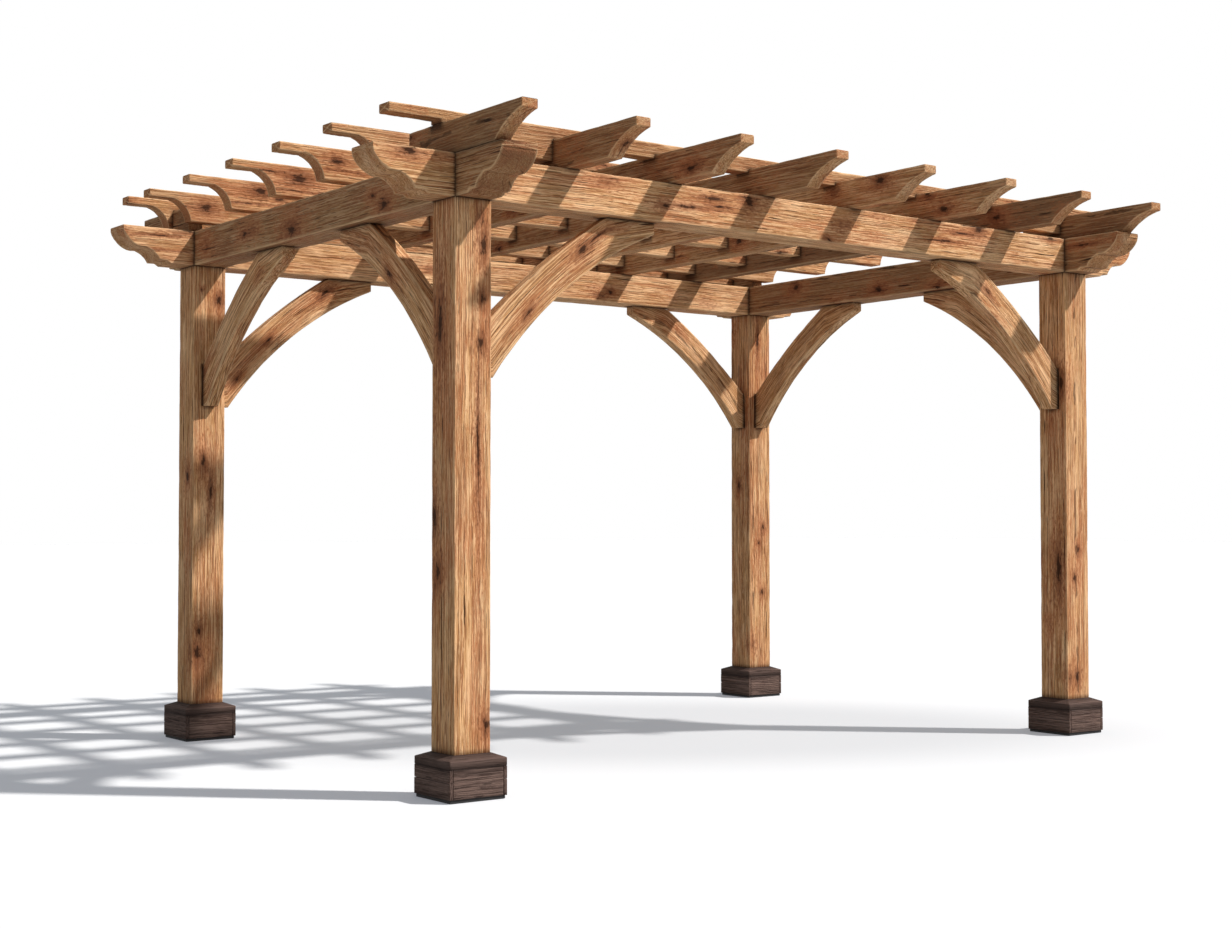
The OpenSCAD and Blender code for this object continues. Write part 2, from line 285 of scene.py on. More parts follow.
def carry(lower, upper, width, arris, seed, flat=FLAT, dent=0.0, hewn=1.0 * MM, bent=False,
          tone=0.0, pale=1.0, cut=0.0):
    """The skin of one timber. lower and upper are lines of points (along, up); rung k joins point k of both,
    and carries a rounded rectangle of the given width. The corner radius wanders about arris, the faces are
    pulled in by waves no deeper than hewn, dent is added to the section, and both ends are rounded and closed.
    tone darkens the piece, cut takes that much off it where a face is cut across the grain, and pale bleaches
    its edges. The tones given to the beams and rafters below are partly painted: a high one is painted shade, a
    low one painted light, and cut is painted light on the carved hollows and ends of the tails. Grain runs along
    the piece, or along its middle line where it is bent; end tells how squarely a point faces along it, which is
    the share of its unit normal, the mean over its quads, that lies along."""
    lower, upper = np.array(lower, float), np.array(upper, float)
    for line in (lower, upper):
        line[0, 0] += END_ROUND
        line[-1, 0] -= END_ROUND
    rung = upper - lower
    depth = np.hypot(rung[:, 0], rung[:, 1])
    rise = rung / depth[:, None]
    middle = (lower + upper) / 2
    run = run_of(middle) if bent else lower[:, 0]
    wear = np.stack([waves(run, seed * 10 + c, EDGE_WAVES) for c in range(4)], 1)
    radius = arris * (LEAST_WORN + (MOST_WORN - LEAST_WORN) * wear ** 3)
    radius = np.minimum(radius, RADIUS_LIMIT * np.minimum(depth, width)[:, None])
    a, h, worn = section(width, depth, radius, flat)
    half = depth[:, None] / 2
    pull_a = hewn * waves(run[:, None] + ASKEW * h, seed + 301, SIDE_WAVES)
    pull_h = hewn * waves(run[:, None] + ASKEW * a, seed + 302, TOP_WAVES)
    a = a * (1 - 2 * pull_a / width) + np.broadcast_to(dent, (2, *a.shape))[0]
    h = half + (h - half) * (1 - pull_h / half) + np.broadcast_to(dent, (2, *h.shape))[1]

    def closed(first):
        k = 0 if first else -1
        small_a = CLOSING * (1 - 2 * ROUND_IN / width)
        small_h = CLOSING * (1 - 2 * ROUND_IN / depth[k])
        ring_a = small_a[:, None] * a[k]
        ring_h = half[k] + small_h[:, None] * (h[k] - half[k])
        step = ROUND_OUT * (-1 if first else 1)
        order = slice(None, None, -1 if first else 1)
        return ring_a[order], ring_h[order], step[order]

    a0, h0, step0 = closed(True)
    a1, h1, step1 = closed(False)
    last, extra = len(depth) - 1, len(CLOSING)
    rows = np.r_[np.zeros(extra, int), np.arange(last + 1), np.full(extra, last)]
    step = np.r_[step0, np.zeros(last + 1), step1][:, None]
    a, h = np.concatenate([a0, a, a1]), np.concatenate([h0, h, h1])
    s = lower[rows, :1] + rise[rows, :1] * h + step
    z = lower[rows, 1:] + rise[rows, 1:] * h
    pith = heart_of(seed)
    level = h - half[rows] if bent else z - middle[len(middle) // 2, 1]
    grain = np.stack([run[rows][:, None] + step + 0 * a + LOG_APART * seed, a - pith[0], level - pith[1]], -1)
    quads, ends = joined(*a.shape)
    points = np.stack([s, a, z], -1).reshape(-1, 3)
    across = np.cross(points[quads[:, 2]] - points[quads[:, 0]], points[quads[:, 3]] - points[quads[:, 1]])
    facing = np.zeros_like(points)
    np.add.at(facing, quads.ravel(), np.repeat(across, 4, 0))
    end = np.abs(facing[:, 0]) / np.linalg.norm(facing, axis=1).clip(1e-12)
    own = tone + np.random.default_rng(seed + 78).uniform(-TONE_OFF, TONE_OFF)
    return {"points": points, "quads": quads, "ends": ends, "grain": grain.reshape(-1, 3),
            "arris": np.tile(pale * worn, len(a)), "end": end * (not bent),
            "tone": own - cut * (end / FULL_CUT).clip(0, 1)}


sample = carry([(x, 0.0) for x in (0, 0.5, 1)], [(x, 0.1) for x in (0, 0.5, 1)], 0.1, 4 * MM, 0)
print("three rungs give", len(sample["quads"]), "quads")

# %% [markdown]
# ## Setting pieces in place
# A skin is worked out lying along its own axes and then turned into the frame's. Several
# skins can share one object, as the boards of a base do. Five values ride on every point
# for the finish to read: where it lies in the log, how worn the edge is, how far it shows
# end grain, the tone of the piece, which differs at random because no two timbers come from
# the same tree and is set by kind as painted light and shade, and how close it lies to
# another timber, where the wood is darkened: soiling in the joint and painted shade in its crease.

# %% Placing
JOINT_DARK_REACH = 8 * MM                         # how far a joint darkens the wood round it: soiling, and painted shade in the crease
FIELDS = {"grain": "FLOAT_VECTOR", "arris": "FLOAT", "end": "FLOAT", "tone": "FLOAT", "joint_dirt_and_shade": "FLOAT"}
CREASE = math.radians(40)              # edges sharper than this stay sharp


def place(skin, at, along, up):
    """Local (along, across, up) to the frame: the origin plus each coordinate times its direction,
    where across is up crossed with along."""
    along, up = np.array(along, float), np.array(up, float)
    axes = np.stack([along, np.cross(up, along), up])
    return {**skin, "points": np.array(at) + skin["points"] @ axes}


def joint_darkening(points, node):
    """exp(-d / r), where r is how far a joint darkens the wood and d is the distance from each point to the nearest
    seat of another piece: soiling in the joint, and painted shade in its crease.
    """
    best = np.full(len(points), 1.0)
    for owner, low, high in SEATS:
        if owner != node:
            off = np.maximum(np.maximum(low - points, points - high), 0)
            best = np.minimum(best, np.linalg.norm(off, axis=1))
    return np.exp(-best / JOINT_DARK_REACH)


def lay(name, node, skins, material):
    """One object from several skins, standing for the frame's node of that name."""
    start = np.cumsum([0] + [len(s["points"]) for s in skins])
    faces = []
    for s, shift in zip(skins, start):
        faces += (s["quads"] + shift).tolist() + [[i + int(shift) for i in end] for end in s["ends"]]
    mesh = bpy.data.meshes.new(name)
    mesh.from_pydata(np.concatenate([s["points"] for s in skins]).tolist(), [], faces)
    # darkening near joints: soiling, and painted shade in the creases between pieces
    skins = [{**s, "joint_dirt_and_shade": joint_darkening(s["points"], node)} for s in skins]
    for kind, data in FIELDS.items():
        values = np.concatenate([s[kind] for s in skins]).astype(np.float32).ravel()
        field = mesh.attributes.new(kind, data, "POINT")
        field.data.foreach_set("vector" if data == "FLOAT_VECTOR" else "value", values)
    mesh.shade_smooth()
    mesh.set_sharp_from_angle(angle=CREASE)
    mesh.materials.append(material)
    piece = bpy.data.objects.new(name, mesh)
    scene.collection.objects.link(piece)
    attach(piece, "root")
    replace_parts(piece, node)
    return piece


print("values on every point:", ", ".join(FIELDS))

# %% Where pieces touch
X, Y, Z = (1, 0, 0), (0, 1, 0), (0, 0, 1)
CORNERS = {"front_left": (-1, -1), "front_right": (1, -1), "back_left": (-1, 1), "back_right": (1, 1)}
# sizes of joints in millimetres: how far a brace is let into its post, how tall it is there, how long it is
# against the beam, how tall its nib is there, and how tall the first purlin's bar is
SUNK, POST_SEAT, BEAM_SEAT, NIB, BAR = 12.0, 185.0, 225.0, 45.0, 60.0
DEEP_FROM, DEEP_TO = 1.222, 1.632      # metres from the middle, between which the first purlin is deep


def box_of(node):
    """A node's lowest and highest corner, as arrays."""
    return [np.array(c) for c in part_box(node)]


def seats():
    """Boxes in which each piece touches others: the whole piece, or the two ends of a brace, or a purlin
    without its tails, which for the first purlin is its bar and the deep part at each end of it."""
    found = []
    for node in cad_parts:
        low, high = box_of(node)
        if node.startswith("brace"):
            axis = 0 if node.endswith("along") else 1
            at_post, at_beam = [[low.copy(), high.copy()] for _ in range(2)]
            outward = CORNERS[node[6:].rsplit("_", 1)[0]][axis] > 0
            into, onto = (SUNK + 1) * MM, BEAM_SEAT * MM
            at_post[0 if outward else 1][axis] = (high[axis] - into) if outward else (low[axis] + into)
            at_beam[1 if outward else 0][axis] = (low[axis] + onto) if outward else (high[axis] - onto)
            at_post[1][2], at_beam[0][2] = low[2] + POST_SEAT * MM, high[2] - NIB * MM
            found += [(node, *at_post), (node, *at_beam)]
        elif node == "purlin_1":
            found += [(node, [low[0], low[1], high[2] - BAR * MM], high)]
            found += [(node, [a, low[1], low[2]], [b, high[1], high[2]])
                      for a, b in ((-DEEP_TO, -DEEP_FROM), (DEEP_FROM, DEEP_TO))]
        elif node.startswith("purlin"):
            found += [(node, [-DEEP_TO, low[1], low[2]], [DEEP_TO, high[1], high[2]])]
        else:
            found += [(node, low, high)]
    return [(node, np.array(low), np.array(high)) for node, low, high in found]


SEATS = seats()

# %% [markdown]
# ## The wood
# The timber is knotty softwood, sawn coarse, oiled and left outdoors. The eye sees honey
# and red-brown zones as long as an arm, dark late-wood lines that run with the length and
# swing round the knots, broken dark fibres, dark knots with a red ring, and drying checks.
# An image would repeat and stretch; instead the finish is worked out in the space of the
# log, with growth rings about its heart, so faces, carved tails and ends all agree.

# %% The largest knots and checks
# every piece has a number from which its seeded random draws follow, counted on from here
SEEDS = {"post": 1, "beam": 20, "brace": 40, "rafter": 60, "purlin": 80, "skirt": 100, "pad": 150, "cap": 170}
# by piece, in millimetres: along, across and up from its middle, half length and half width of the mark
MARKS = {
    ("post", 0): ((1930, 41, -75, 35, 12), (1587, 34, -75, 22, 12), (1744, 38, -75, 19, 9),
                  (1229, 22, -75, 140, 5), (256, 61, -75, 22, 14), (1650, -75, 23, 81, 18),
                  (978, -75, 56, 47, 14), (786, -75, 33, 35, 16)),
    ("post", 1): ((253, -5, -75, 22, 12), (829, 3, -75, 16, 8), (704, -19, -75, 18, 9),
                  (745, -75, -26, 80, 14), (1591, -75, -49, 34, 14)),
    ("post", 2): ((1945, 45, -75, 22, 15), (382, -49, -75, 30, 19), (1224, -27, -75, 30, 10),
                  (1094, 10, -75, 44, 7), (478, -38, -75, 20, 10), (1161, -75, -19, 24, 12)),
    ("post", 3): ((926, 27, -75, 17, 9), (837, -7, -75, 11, 6), (572, 15, -75, 16, 8), (1950, -10, -75, 60, 6),
                  (1155, -75, 12, 26, 12)),
    ("beam", 0): ((-664, -75, -7, 58, 5), (-534, -75, 36, 41, 7), (-496, -75, 8, 36, 5),
                  (-348, -75, 47, 27, 19), (-764, -75, -15, 19, 9), (975, -75, 66, 30, 19),
                  (770, -75, -7, 36, 5), (872, -75, 35, 48, 5), (1448, -75, 66, 31, 6),
                  (-1884, -75, 65, 27, 12)),
    ("beam", 1): ((-2055, -75, 46, 22, 14), (-1730, -75, 78, 46, 12), (599, -75, -25, 18, 11),
                  (-1859, -75, 42, 60, 3), (-1834, -75, -20, 45, 3)),
    ("beam", 2): ((504, 75, 1, 20, 12), (77, 75, -33, 35, 22), (-665, 75, -39, 24, 18), (-581, 75, 5, 16, 9)),
    ("beam", 3): ((16, 75, -33, 24, 14), (628, 75, 35, 24, 15), (-1262, 75, 35, 48, 6), (-1473, 75, 51, 16, 11)),
    ("brace", 0): ((588, -32, 18, 27, 15), (669, -32, 27, 41, 6), (276, -32, -29, 22, 11)),
    ("brace", 1): ((530, 32, -23, 22, 12),),
    ("brace", 2): ((627, 32, 5, 24, 11),),
    ("brace", 4): ((695, -32, 19, 27, 14),),
    ("rafter", 4): ((244, 32, 32, 27, 15),),
    ("rafter", 5): ((434, 33, 58, 22, 14), (341, 33, -22, 24, 14)),
    ("rafter", 6): ((469, 33, 5, 24, 15),),
    ("purlin", 1): ((-1778, -35, 4, 55, 3),),
    ("purlin", 2): ((-1663, -35, 14, 22, 12), (-1640, -35, -22, 80, 3)),
    ("purlin", 3): ((-1612, -35, 18, 35, 19), (-1637, -35, -36, 70, 3), (-1746, -35, 33, 50, 3)),
    ("purlin", 4): ((-1583, -35, 24, 32, 16), (-1649, -35, -36, 60, 3)),
    ("purlin", 5): ((-1645, -36, 5, 27, 18), (-1770, -35, 3, 60, 3)),
}


def in_log(seed, along, across, up):
    """A place on a piece, in millimetres, as it lies in the log, in metres: along from that piece's own start,
    and out from the heart."""
    return np.array([along, across, up]) * MM + [LOG_APART * seed, *-heart_of(seed)]


print("marks:", sum(map(len, MARKS.values())), "on", len(MARKS), "pieces")

# %% Patterns in the wood
# every pattern is a noise drawn out along the grain: millimetres along and across it, detail and roughness
PATTERNS = {"rag": (22, 8, 2.0, 0.65), "weather": (190, 34, 2.0, 0.5), "line": (250, 4, 2.0, 0.6),
            "fleck": (32, 4, 2.0, 0.6), "streak": (420, 9, 3.0, 0.6), "blush": (380, 13, 2.0, 0.5),
            "zone": (230, 60, 3.0, 0.55), "warm": (520, 110, 4.0, 0.55),
            "split": (230, 38, 1.0, 0.5), "hair": (90, 38, 1.0, 0.5)}
# where a pattern starts to show as a layer of colour, and where it shows in full
SHOWS = {"torn": ("line", 0.51, 0.62), "raised": ("line", 0.49, 0.38), "pale_fleck": ("fleck", 0.56, 0.68),
         "dark_fleck": ("fleck", 0.44, 0.32), "streak": ("streak", 0.55, 0.66), "blush": ("blush", 0.5, 0.63)}
# drying checks: planes through the heart, width in millimetres, and the noise above which they open
CHECKS = {"split": (9, 3.0, 0.595), "hair": (31, 1.9, 0.52)}
# colours from the ground up: each layer's largest share and its colour
LAYERS = (("warm", 0.85, "red"), ("blush", 0.5, "red"), ("raised", 0.75, "pale"), ("late", 0.2, "late"),
          ("torn", 0.75, "fibre"), ("pale_fleck", 0.4, "pale"), ("dark_fleck", 0.2, "fibre"),
          ("deep", 0.74, "deep"), ("streak", 0.5, "fibre"), ("vein", 0.55, "vein"), ("end", 0.4, "ring"),
          ("glow", 0.55, "red"), ("ring", 0.7, "ring"), ("arris", 0.62, "worn"), ("hair", 0.6, "check"),
          # the last layer darkens joints: soiling, and painted shade in their creases
          ("split", 0.92, "check"), ("knot", 0.88, "knot"), ("joint_dirt_and_shade", 0.85, "check"))
# relief: checks cut deepest, then streaks and fibres
HEIGHTS = (("split", -1.0), ("hair", -0.5), ("streak", -0.3), ("torn", -0.3), ("raised", 0.2), ("pale_fleck", 0.25))
RELIEF = 3 * MM
# how far apart growth rings are (real ones, 3 to 6 mm apart, are too fine to show), and how far a knot pushes them
YEAR, PUSHED = 12 * MM, 14 * MM


def stretched(along, across):
    """How many cells of a pattern go into a metre along the grain and, twice, across it."""
    return (1 / (along * MM), 1 / (across * MM), 1 / (across * MM))


print("layers of colour:", len(LAYERS))

# %% Wood finish
def sawn_wood(name, colours, knot_share, rough, marks={}):
    """Growth rings about the heart of the log, bent by slow waves and by knots; fibres, streaks and zones are
    noise drawn out along the grain, and checks are cracks that run out from the heart."""
    material, tree = new_material(name)
    start = log = add(tree, "ShaderNodeAttribute", {}, out="Vector", attribute_name="grain")
    show = {field: add(tree, "ShaderNodeAttribute", {}, out="Fac", attribute_name=field)
            for field in ("arris", "end", "tone", "joint_dirt_and_shade")}

    # the grain wanders about 4 mm to each side over 800 mm, and 2 mm over a hand's width
    for long, wide, detail, most in ((800, 140, 1.0, 16 * MM), (85, 26, 2.0, 7 * MM)):
        drift = add(tree, "ShaderNodeVectorMath", {0: start, 1: stretched(long, wide)}, operation="MULTIPLY")
        drift = add(tree, "ShaderNodeTexNoise", {"Vector": drift, "Scale": 1.0, "Detail": detail}, out="Color")
        drift = add(tree, "ShaderNodeVectorMath", {0: drift, 1: (0.5, 0.5, 0.5)}, operation="SUBTRACT")
        log = add(tree, "ShaderNodeVectorMath", {0: drift, 1: (0.0, most, most), 2: log}, operation="MULTIPLY_ADD")
    noise = {}
    for pattern, (long, wide, detail, ragged) in PATTERNS.items():
        cells = add(tree, "ShaderNodeVectorMath", {0: log, 1: stretched(long, wide)}, operation="MULTIPLY")
        noise[pattern] = add(tree, "ShaderNodeTexNoise", {"Vector": cells, "Scale": 1.0, "Detail": detail,
                                                          "Roughness": ragged})

    # knots: one ragged spot in each cell of the log, drawn out along the grain, each of its own size; many cells
    # have none. Round each mark lies an egg, 1 at its rim, and the nearest spot or egg counts
    cell = add(tree, "ShaderNodeVectorMath", {0: log, 1: stretched(240, 120)}, operation="MULTIPLY")
    cell = add(tree, "ShaderNodeVectorMath", {0: drift, 1: (0.1, 0.1, 0.1), 2: cell}, operation="MULTIPLY_ADD")
    spot = add(tree, "ShaderNodeTexVoronoi", {"Vector": cell, "Scale": 1.0}, feature="F1")
    lot = add(tree, "ShaderNodeSeparateColor", {"Color": spot.node.outputs["Color"]})
    size = add(tree, "ShaderNodeMapRange", {"Value": lot, "From Min": 1 - knot_share, "From Max": 1.0,
                                            "To Min": 0.002, "To Max": 0.12})
    away = add(tree, "ShaderNodeMath", {0: spot, 1: size}, operation="DIVIDE")
    for (kind, number), *at, long, wide in [(piece, *mark) for piece in marks for mark in marks[piece]]:
        per = np.array(stretched(long, wide))
        egg = {0: log, 1: per.tolist(), 2: (-per * in_log(SEEDS[kind] + number, *at)).tolist()}
        egg = add(tree, "ShaderNodeVectorMath", egg, operation="MULTIPLY_ADD")
        egg = add(tree, "ShaderNodeVectorMath", {0: egg}, out="Value", operation="LENGTH")
        away = add(tree, "ShaderNodeMath", {0: away, 1: egg}, operation="MINIMUM")
    rag = add(tree, "ShaderNodeMapRange", {"Value": noise["rag"], "From Min": 0.3, "From Max": 0.7,
                                           "To Min": 0.45, "To Max": 1.7})
    away = add(tree, "ShaderNodeMath", {0: away, 1: rag}, operation="MULTIPLY")
    for part, first, last in (("knot", 0.45, 1.15), ("ring", 0.7, 3.6), ("glow", 1.5, 7.0)):
        show[part] = add(tree, "ShaderNodeMapRange", {"Value": away, "From Min": first, "From Max": last,
                                                      "To Min": 1.0, "To Max": 0.0}, interpolation_type="SMOOTHSTEP")

    # growth rings, pushed aside at a knot; here and there the rim of one has weathered to a dark vein
    flat_log = add(tree, "ShaderNodeVectorMath", {0: log, 1: (0.0, 1.0, 1.0)}, operation="MULTIPLY")
    heart = add(tree, "ShaderNodeVectorMath", {0: flat_log}, out="Value", operation="LENGTH")
    year = add(tree, "ShaderNodeMath", {0: show["ring"], 1: PUSHED, 2: heart}, operation="MULTIPLY_ADD")
    year = add(tree, "ShaderNodeMath", {0: year, 1: 1 / YEAR}, operation="MULTIPLY")
    year = add(tree, "ShaderNodeMath", {0: year}, operation="FRACT")
    summer, spring = (add(tree, "ShaderNodeMapRange", {"Value": year, "From Min": first, "From Max": last},
                          interpolation_type="SMOOTHSTEP") for first, last in ((0.3, 0.86), (0.88, 1.0)))
    show["late"] = add(tree, "ShaderNodeMath", {0: summer, 1: spring}, operation="SUBTRACT")
    rim = add(tree, "ShaderNodeMapRange", {"Value": year, "From Min": 0.74, "From Max": 0.88})
    vein = add(tree, "ShaderNodeMath", {0: rim, 1: spring}, operation="SUBTRACT")
    weathered = add(tree, "ShaderNodeMapRange", {"Value": noise["weather"], "From Min": 0.5, "From Max": 0.62})
    show["vein"] = add(tree, "ShaderNodeMath", {0: vein, 1: weathered}, operation="MULTIPLY")

    # on end grain lines and flecks are drawn to their middle value, as fibres seen end on are dots
    lively = add(tree, "ShaderNodeMapRange", {"Value": show["end"], "To Min": 1.0, "To Max": 0.4})
    quiet = add(tree, "ShaderNodeMapRange", {"Value": show["end"], "To Min": 0.0, "To Max": 0.3})
    for fibre in ("line", "fleck"):
        noise[fibre] = add(tree, "ShaderNodeMath", {0: noise[fibre], 1: lively, 2: quiet}, operation="MULTIPLY_ADD")
    for layer, (pattern, first, last) in SHOWS.items():
        show[layer] = add(tree, "ShaderNodeMapRange", {"Value": noise[pattern], "From Min": first, "From Max": last})

    # the distance to the nearest plane of a check is the radius times the angle to it; few wide checks and many
    # hair cracks, each open only here and there
    part = add(tree, "ShaderNodeSeparateXYZ", {"Vector": log}).node.outputs
    angle = add(tree, "ShaderNodeMath", {0: part["Z"], 1: part["Y"]}, operation="ARCTAN2")
    off_heart = add(tree, "ShaderNodeMapRange", {"Value": heart, "From Min": 25 * MM, "From Max": 55 * MM})
    off_heart = add(tree, "ShaderNodeMath", {0: off_heart, 1: lively}, operation="MULTIPLY")
    for check, (planes, wide, rare) in CHECKS.items():
        turn = add(tree, "ShaderNodeMath", {0: angle, 1: planes / (2 * math.pi), 2: 40.0}, operation="MULTIPLY_ADD")
        turn = add(tree, "ShaderNodeMath", {0: turn}, operation="FRACT")
        turn = add(tree, "ShaderNodeMath", {0: turn, 1: 0.5}, operation="SUBTRACT")
        turn = add(tree, "ShaderNodeMath", {0: turn}, operation="ABSOLUTE")
        gap = add(tree, "ShaderNodeMath", {0: turn, 1: heart}, operation="MULTIPLY")
        gap = add(tree, "ShaderNodeMath", {0: gap, 1: 2 * math.pi / planes}, operation="MULTIPLY")
        crack = add(tree, "ShaderNodeMapRange", {"Value": gap, "From Min": 0.3 * wide * MM, "From Max": wide * MM,
                                                 "To Min": 1.0, "To Max": 0.0}, interpolation_type="SMOOTHSTEP")
        where = add(tree, "ShaderNodeMapRange", {"Value": noise[check], "From Min": rare, "From Max": rare + 0.06})
        crack = add(tree, "ShaderNodeMath", {0: crack, 1: where}, operation="MULTIPLY")
        show[check] = add(tree, "ShaderNodeMath", {0: crack, 1: off_heart}, operation="MULTIPLY")

    # pale zones a hand long, and red ones an arm long; the piece's own tone moves them, and the deepest are less
    # red. Where a tone is set high by kind, as on the rafters and short beams, its darkening is painted shade
    tone = show["tone"]
    zone = add(tree, "ShaderNodeMath", {0: tone, 1: -0.06, 2: noise["zone"]}, operation="MULTIPLY_ADD")
    bright = add(tree, "ShaderNodeMapRange", {"Value": zone, "From Min": 0.47, "From Max": 0.71})
    show["deep"] = add(tree, "ShaderNodeMapRange", {"Value": tone, "From Min": 1.0, "From Max": 2.5})
    warm = add(tree, "ShaderNodeMath", {0: tone, 1: 0.05, 2: noise["warm"]}, operation="MULTIPLY_ADD")
    warm = add(tree, "ShaderNodeMath", {0: show["deep"], 1: -0.18, 2: warm}, operation="MULTIPLY_ADD")
    show["warm"] = add(tree, "ShaderNodeMapRange", {"Value": warm, "From Min": 0.50, "From Max": 0.65})

    # sockets 0, 6 and 7 of a colour mix are its share and its two colours
    colour = add(tree, "ShaderNodeMix", {0: bright, 6: linear(colours["body"]), 7: linear(colours["pale"])},
                 out=2, data_type="RGBA")
    for layer, most, over in LAYERS:
        share = add(tree, "ShaderNodeMath", {0: show[layer], 1: most}, operation="MULTIPLY")
        colour = add(tree, "ShaderNodeMix", {0: share, 6: colour, 7: linear(colours[over])}, out=2, data_type="RGBA")
    relief = 1.0
    for layer, height in HEIGHTS:
        relief = add(tree, "ShaderNodeMath", {0: show[layer], 1: height, 2: relief}, operation="MULTIPLY_ADD")
    bump = add(tree, "ShaderNodeBump", {"Strength": 0.8, "Distance": RELIEF, "Height": relief})
    dull = add(tree, "ShaderNodeMath", {0: show["torn"], 1: 0.1, 2: rough}, operation="MULTIPLY_ADD")
    skin = add(tree, "ShaderNodeBsdfPrincipled", {"Base Color": colour, "Roughness": dull, "Normal": bump,
                                                  "IOR": 1.45, "Specular IOR Level": 0.1})
    add(tree, "ShaderNodeOutputMaterial", {"Surface": skin})
    return material


PINE = {"body": "#CC9765", "red": "#BA754D", "pale": "#F2C597", "late": "#94623D", "fibre": "#865637",
        "vein": "#5E3820", "ring": "#70402A", "deep": "#6C4E38", "worn": "#E6BE92", "check": "#2A1810",
        "knot": "#301B10"}
oiled_pine = sawn_wood("oiled_rough_sawn_pine", PINE, knot_share=0.6, rough=0.8, marks=MARKS)
print("finish:", oiled_pine.name, len(oiled_pine.node_tree.nodes), "nodes")

# %% [markdown]
# ## Posts
# Four square timbers carry everything. Two faces of each have a shallow housing, a little
# wider than the brace that stands in it, which shows as a dark slot beside the brace's foot.
# The housing is a dent in the section that only the rungs at its height have.

# %% Posts
HOUSING_DEEP, HOUSING_TALL = 12 * MM, 185.5 * MM
SLIP = 0.15 * MM                        # half the run of a wall that the drawing makes upright
RUNG_STEP = 15 * MM
POST_FLAT = (0.05, 0.2295, 0.2325, 0.5, 0.7675, 0.7705, 0.95)      # the close pairs are a housing's side walls


def spaced(low, high, step, fixed):
    """Places from low to high about a step apart, with the fixed places kept and no close neighbours to them."""
    fixed = np.unique(np.concatenate([[low, high], np.ravel(fixed)]))
    even = np.arange(low + step, high - step / 2, step)
    clear = np.abs(even[:, None] - fixed).min(1) > 0.25 * step
    return np.sort(np.concatenate([fixed, even[clear]]))


in_slot = np.array([0] * len(QUARTER) + [0, 0, 1, 1, 1, 0, 0], float)
no_slot = np.zeros_like(in_slot)
right, above, left, below = [np.concatenate([in_slot if k == f else no_slot for k in range(4)]) for f in range(4)]
for number, (corner, (side, end)) in enumerate(CORNERS.items()):
    low, high = box_of(f"post_{corner}")
    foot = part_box(f"brace_{corner}_along")[0].z
    top = foot + HOUSING_TALL
    z = spaced(low[2], high[2], RUNG_STEP, [foot - SLIP, foot + SLIP, top - SLIP, top + SLIP])
    width = high[0] - low[0]
    inside = ((z > foot) & (z < top)).astype(float)
    dent = HOUSING_DEEP * np.stack([np.outer(inside, left if side > 0 else -right),
                                    np.outer(inside, below if end > 0 else -above)])
    lower = np.stack([z, np.full_like(z, -width / 2)], 1)
    skin = carry(lower, lower * [1, -1], width, 3.5 * MM, SEEDS["post"] + number, flat=POST_FLAT,
                 dent=dent, hewn=0.7 * MM, pale=0.35)
    middle = (low + high) / 2
    lay(f"hewn_post_{corner}", f"post_{corner}", [place(skin, (middle[0], middle[1], 0), Z, Y)],
        oiled_pine)
print("posts:", width.round(3), "m square,", len(z), "rungs each")

# %% [markdown]
# ## Beams
# Two long beams and two short ones are halved into each other over the posts, and all
# eight tails are carved: a round nose, a small step, a hollow and a low shoulder. The
# carving is a line of arcs; each arc is given by its two ends and by how far it bulges.

# %% Carved lines
def arc(start, stop, bulge, count):
    """Points on the circle through both ends that stands out to the left of start-to-stop by bulge:
    with half-chord c the radius is (c*c + bulge*bulge) / (2*bulge)."""
    start, stop = np.array(start, float), np.array(stop, float)
    chord = stop - start
    length = np.hypot(*chord)
    forward, left = chord / length, np.array([-chord[1], chord[0]]) / length
    radius = (length ** 2 / 4 + bulge ** 2) / (2 * bulge)
    centre = (start + stop) / 2 - (radius - bulge) * left
    turn = np.linspace(-1, 1, count)[:, None] * math.asin(length / 2 / radius)
    return centre + radius * (left * np.cos(turn) + forward * np.sin(turn))


GOUGE, GOUGE_WAVES = 1.2 * MM, (0.043, 0.027, 0.019)               # depth and lengths of a gouge's marks


def both_ends(tail, half):
    """A tail line, measured in from its tip, at both ends of a timber of that half length."""
    near = tail + [-half, 0]
    return np.concatenate([near, near[::-1] * [-1, 1]])


def notched(level, cut, places, half_width, reach):
    """An edge line at one level that steps to another between each place minus and plus half_width."""
    steps = np.array([-half_width - SLIP, -half_width + SLIP, half_width - SLIP, half_width + SLIP])
    s = np.concatenate([[-reach], (np.sort(places)[:, None] + steps).ravel(), [reach]])
    h = np.concatenate([[level], np.tile([level, cut, cut, level], len(places)), [level]])
    return np.stack([s, h], 1)


def gouged(s, line, tail, from_tip, seed):
    """Height of an edge line at s, raised by up to the depth of a gouge's marks where the tip is nearer than
    the length of the tail."""
    h = np.interp(s, line[:, 0], line[:, 1])
    carved = np.clip((tail - from_tip) / (12 * MM), 0, 1)
    return h + GOUGE * carved * waves(s, seed + 500, GOUGE_WAVES) ** 2


# millimetres in from the tip and up from the underside
DEPTH, UPRIGHT = 152.0, 24.0
nose = arc((80, 60), (0, DEPTH - UPRIGHT), 13, 12)[::-1]
hollow = arc((112, 58.5), (168, 11), 7, 9)
BEAM_TAIL = np.concatenate([nose, [(111.7, 60)], hollow, [(202, 11), (218.5, 0)]]) * MM
print("beam tail:", len(BEAM_TAIL), "points,", BEAM_TAIL[-1, 0], "m long")

